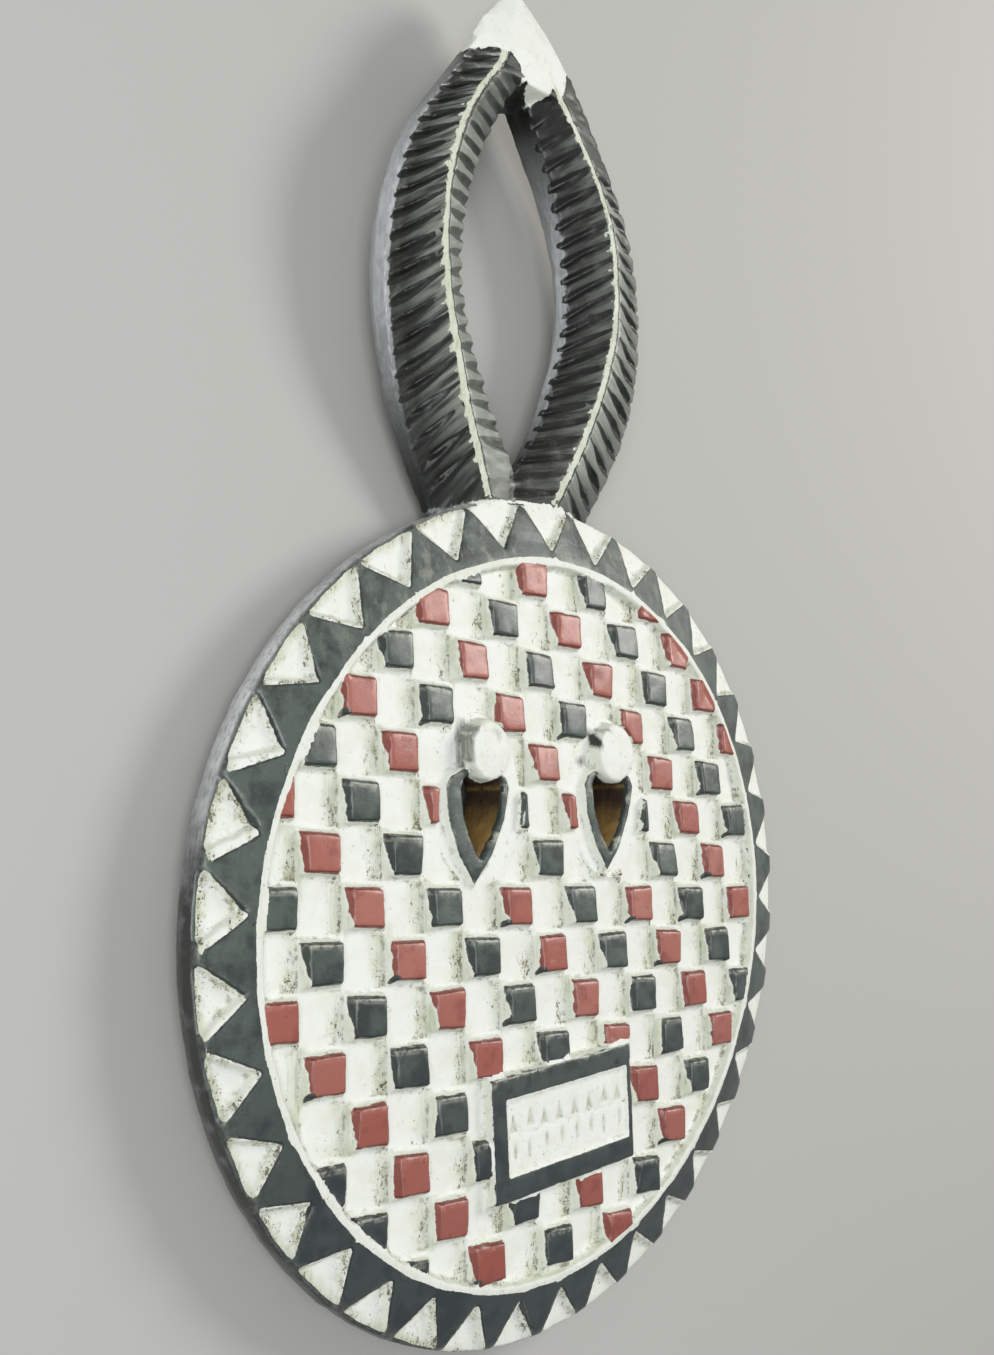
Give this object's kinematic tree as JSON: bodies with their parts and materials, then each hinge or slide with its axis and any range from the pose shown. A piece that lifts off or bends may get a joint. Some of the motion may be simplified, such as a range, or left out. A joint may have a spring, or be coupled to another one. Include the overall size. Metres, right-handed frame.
{
  "type": "goli mask",
  "caption": "Round, slightly domed carved wooden mask with a raised checker face, drop-shaped eye holes, a framed mouth and a pair of horns that join in one point.",
  "frame": {"origin": "middle of the bounding box, on the ground that the back rim lies on", "axes": "+Z out of the face, +Y toward the tip of the horns, +X to the right of a viewer who faces the mask"},
  "size_m": [0.3508, 0.5828, 0.0412],
  "materials": {
    "painted_wood": "hand-painted chalky white, brick red and charcoal black on carved wood, satin black horns, bare brown wood inside the eye holes and on the back"
  },
  "bodies": {
    "root": {"mask": "painted_wood"}
  },
  "joints": []
}
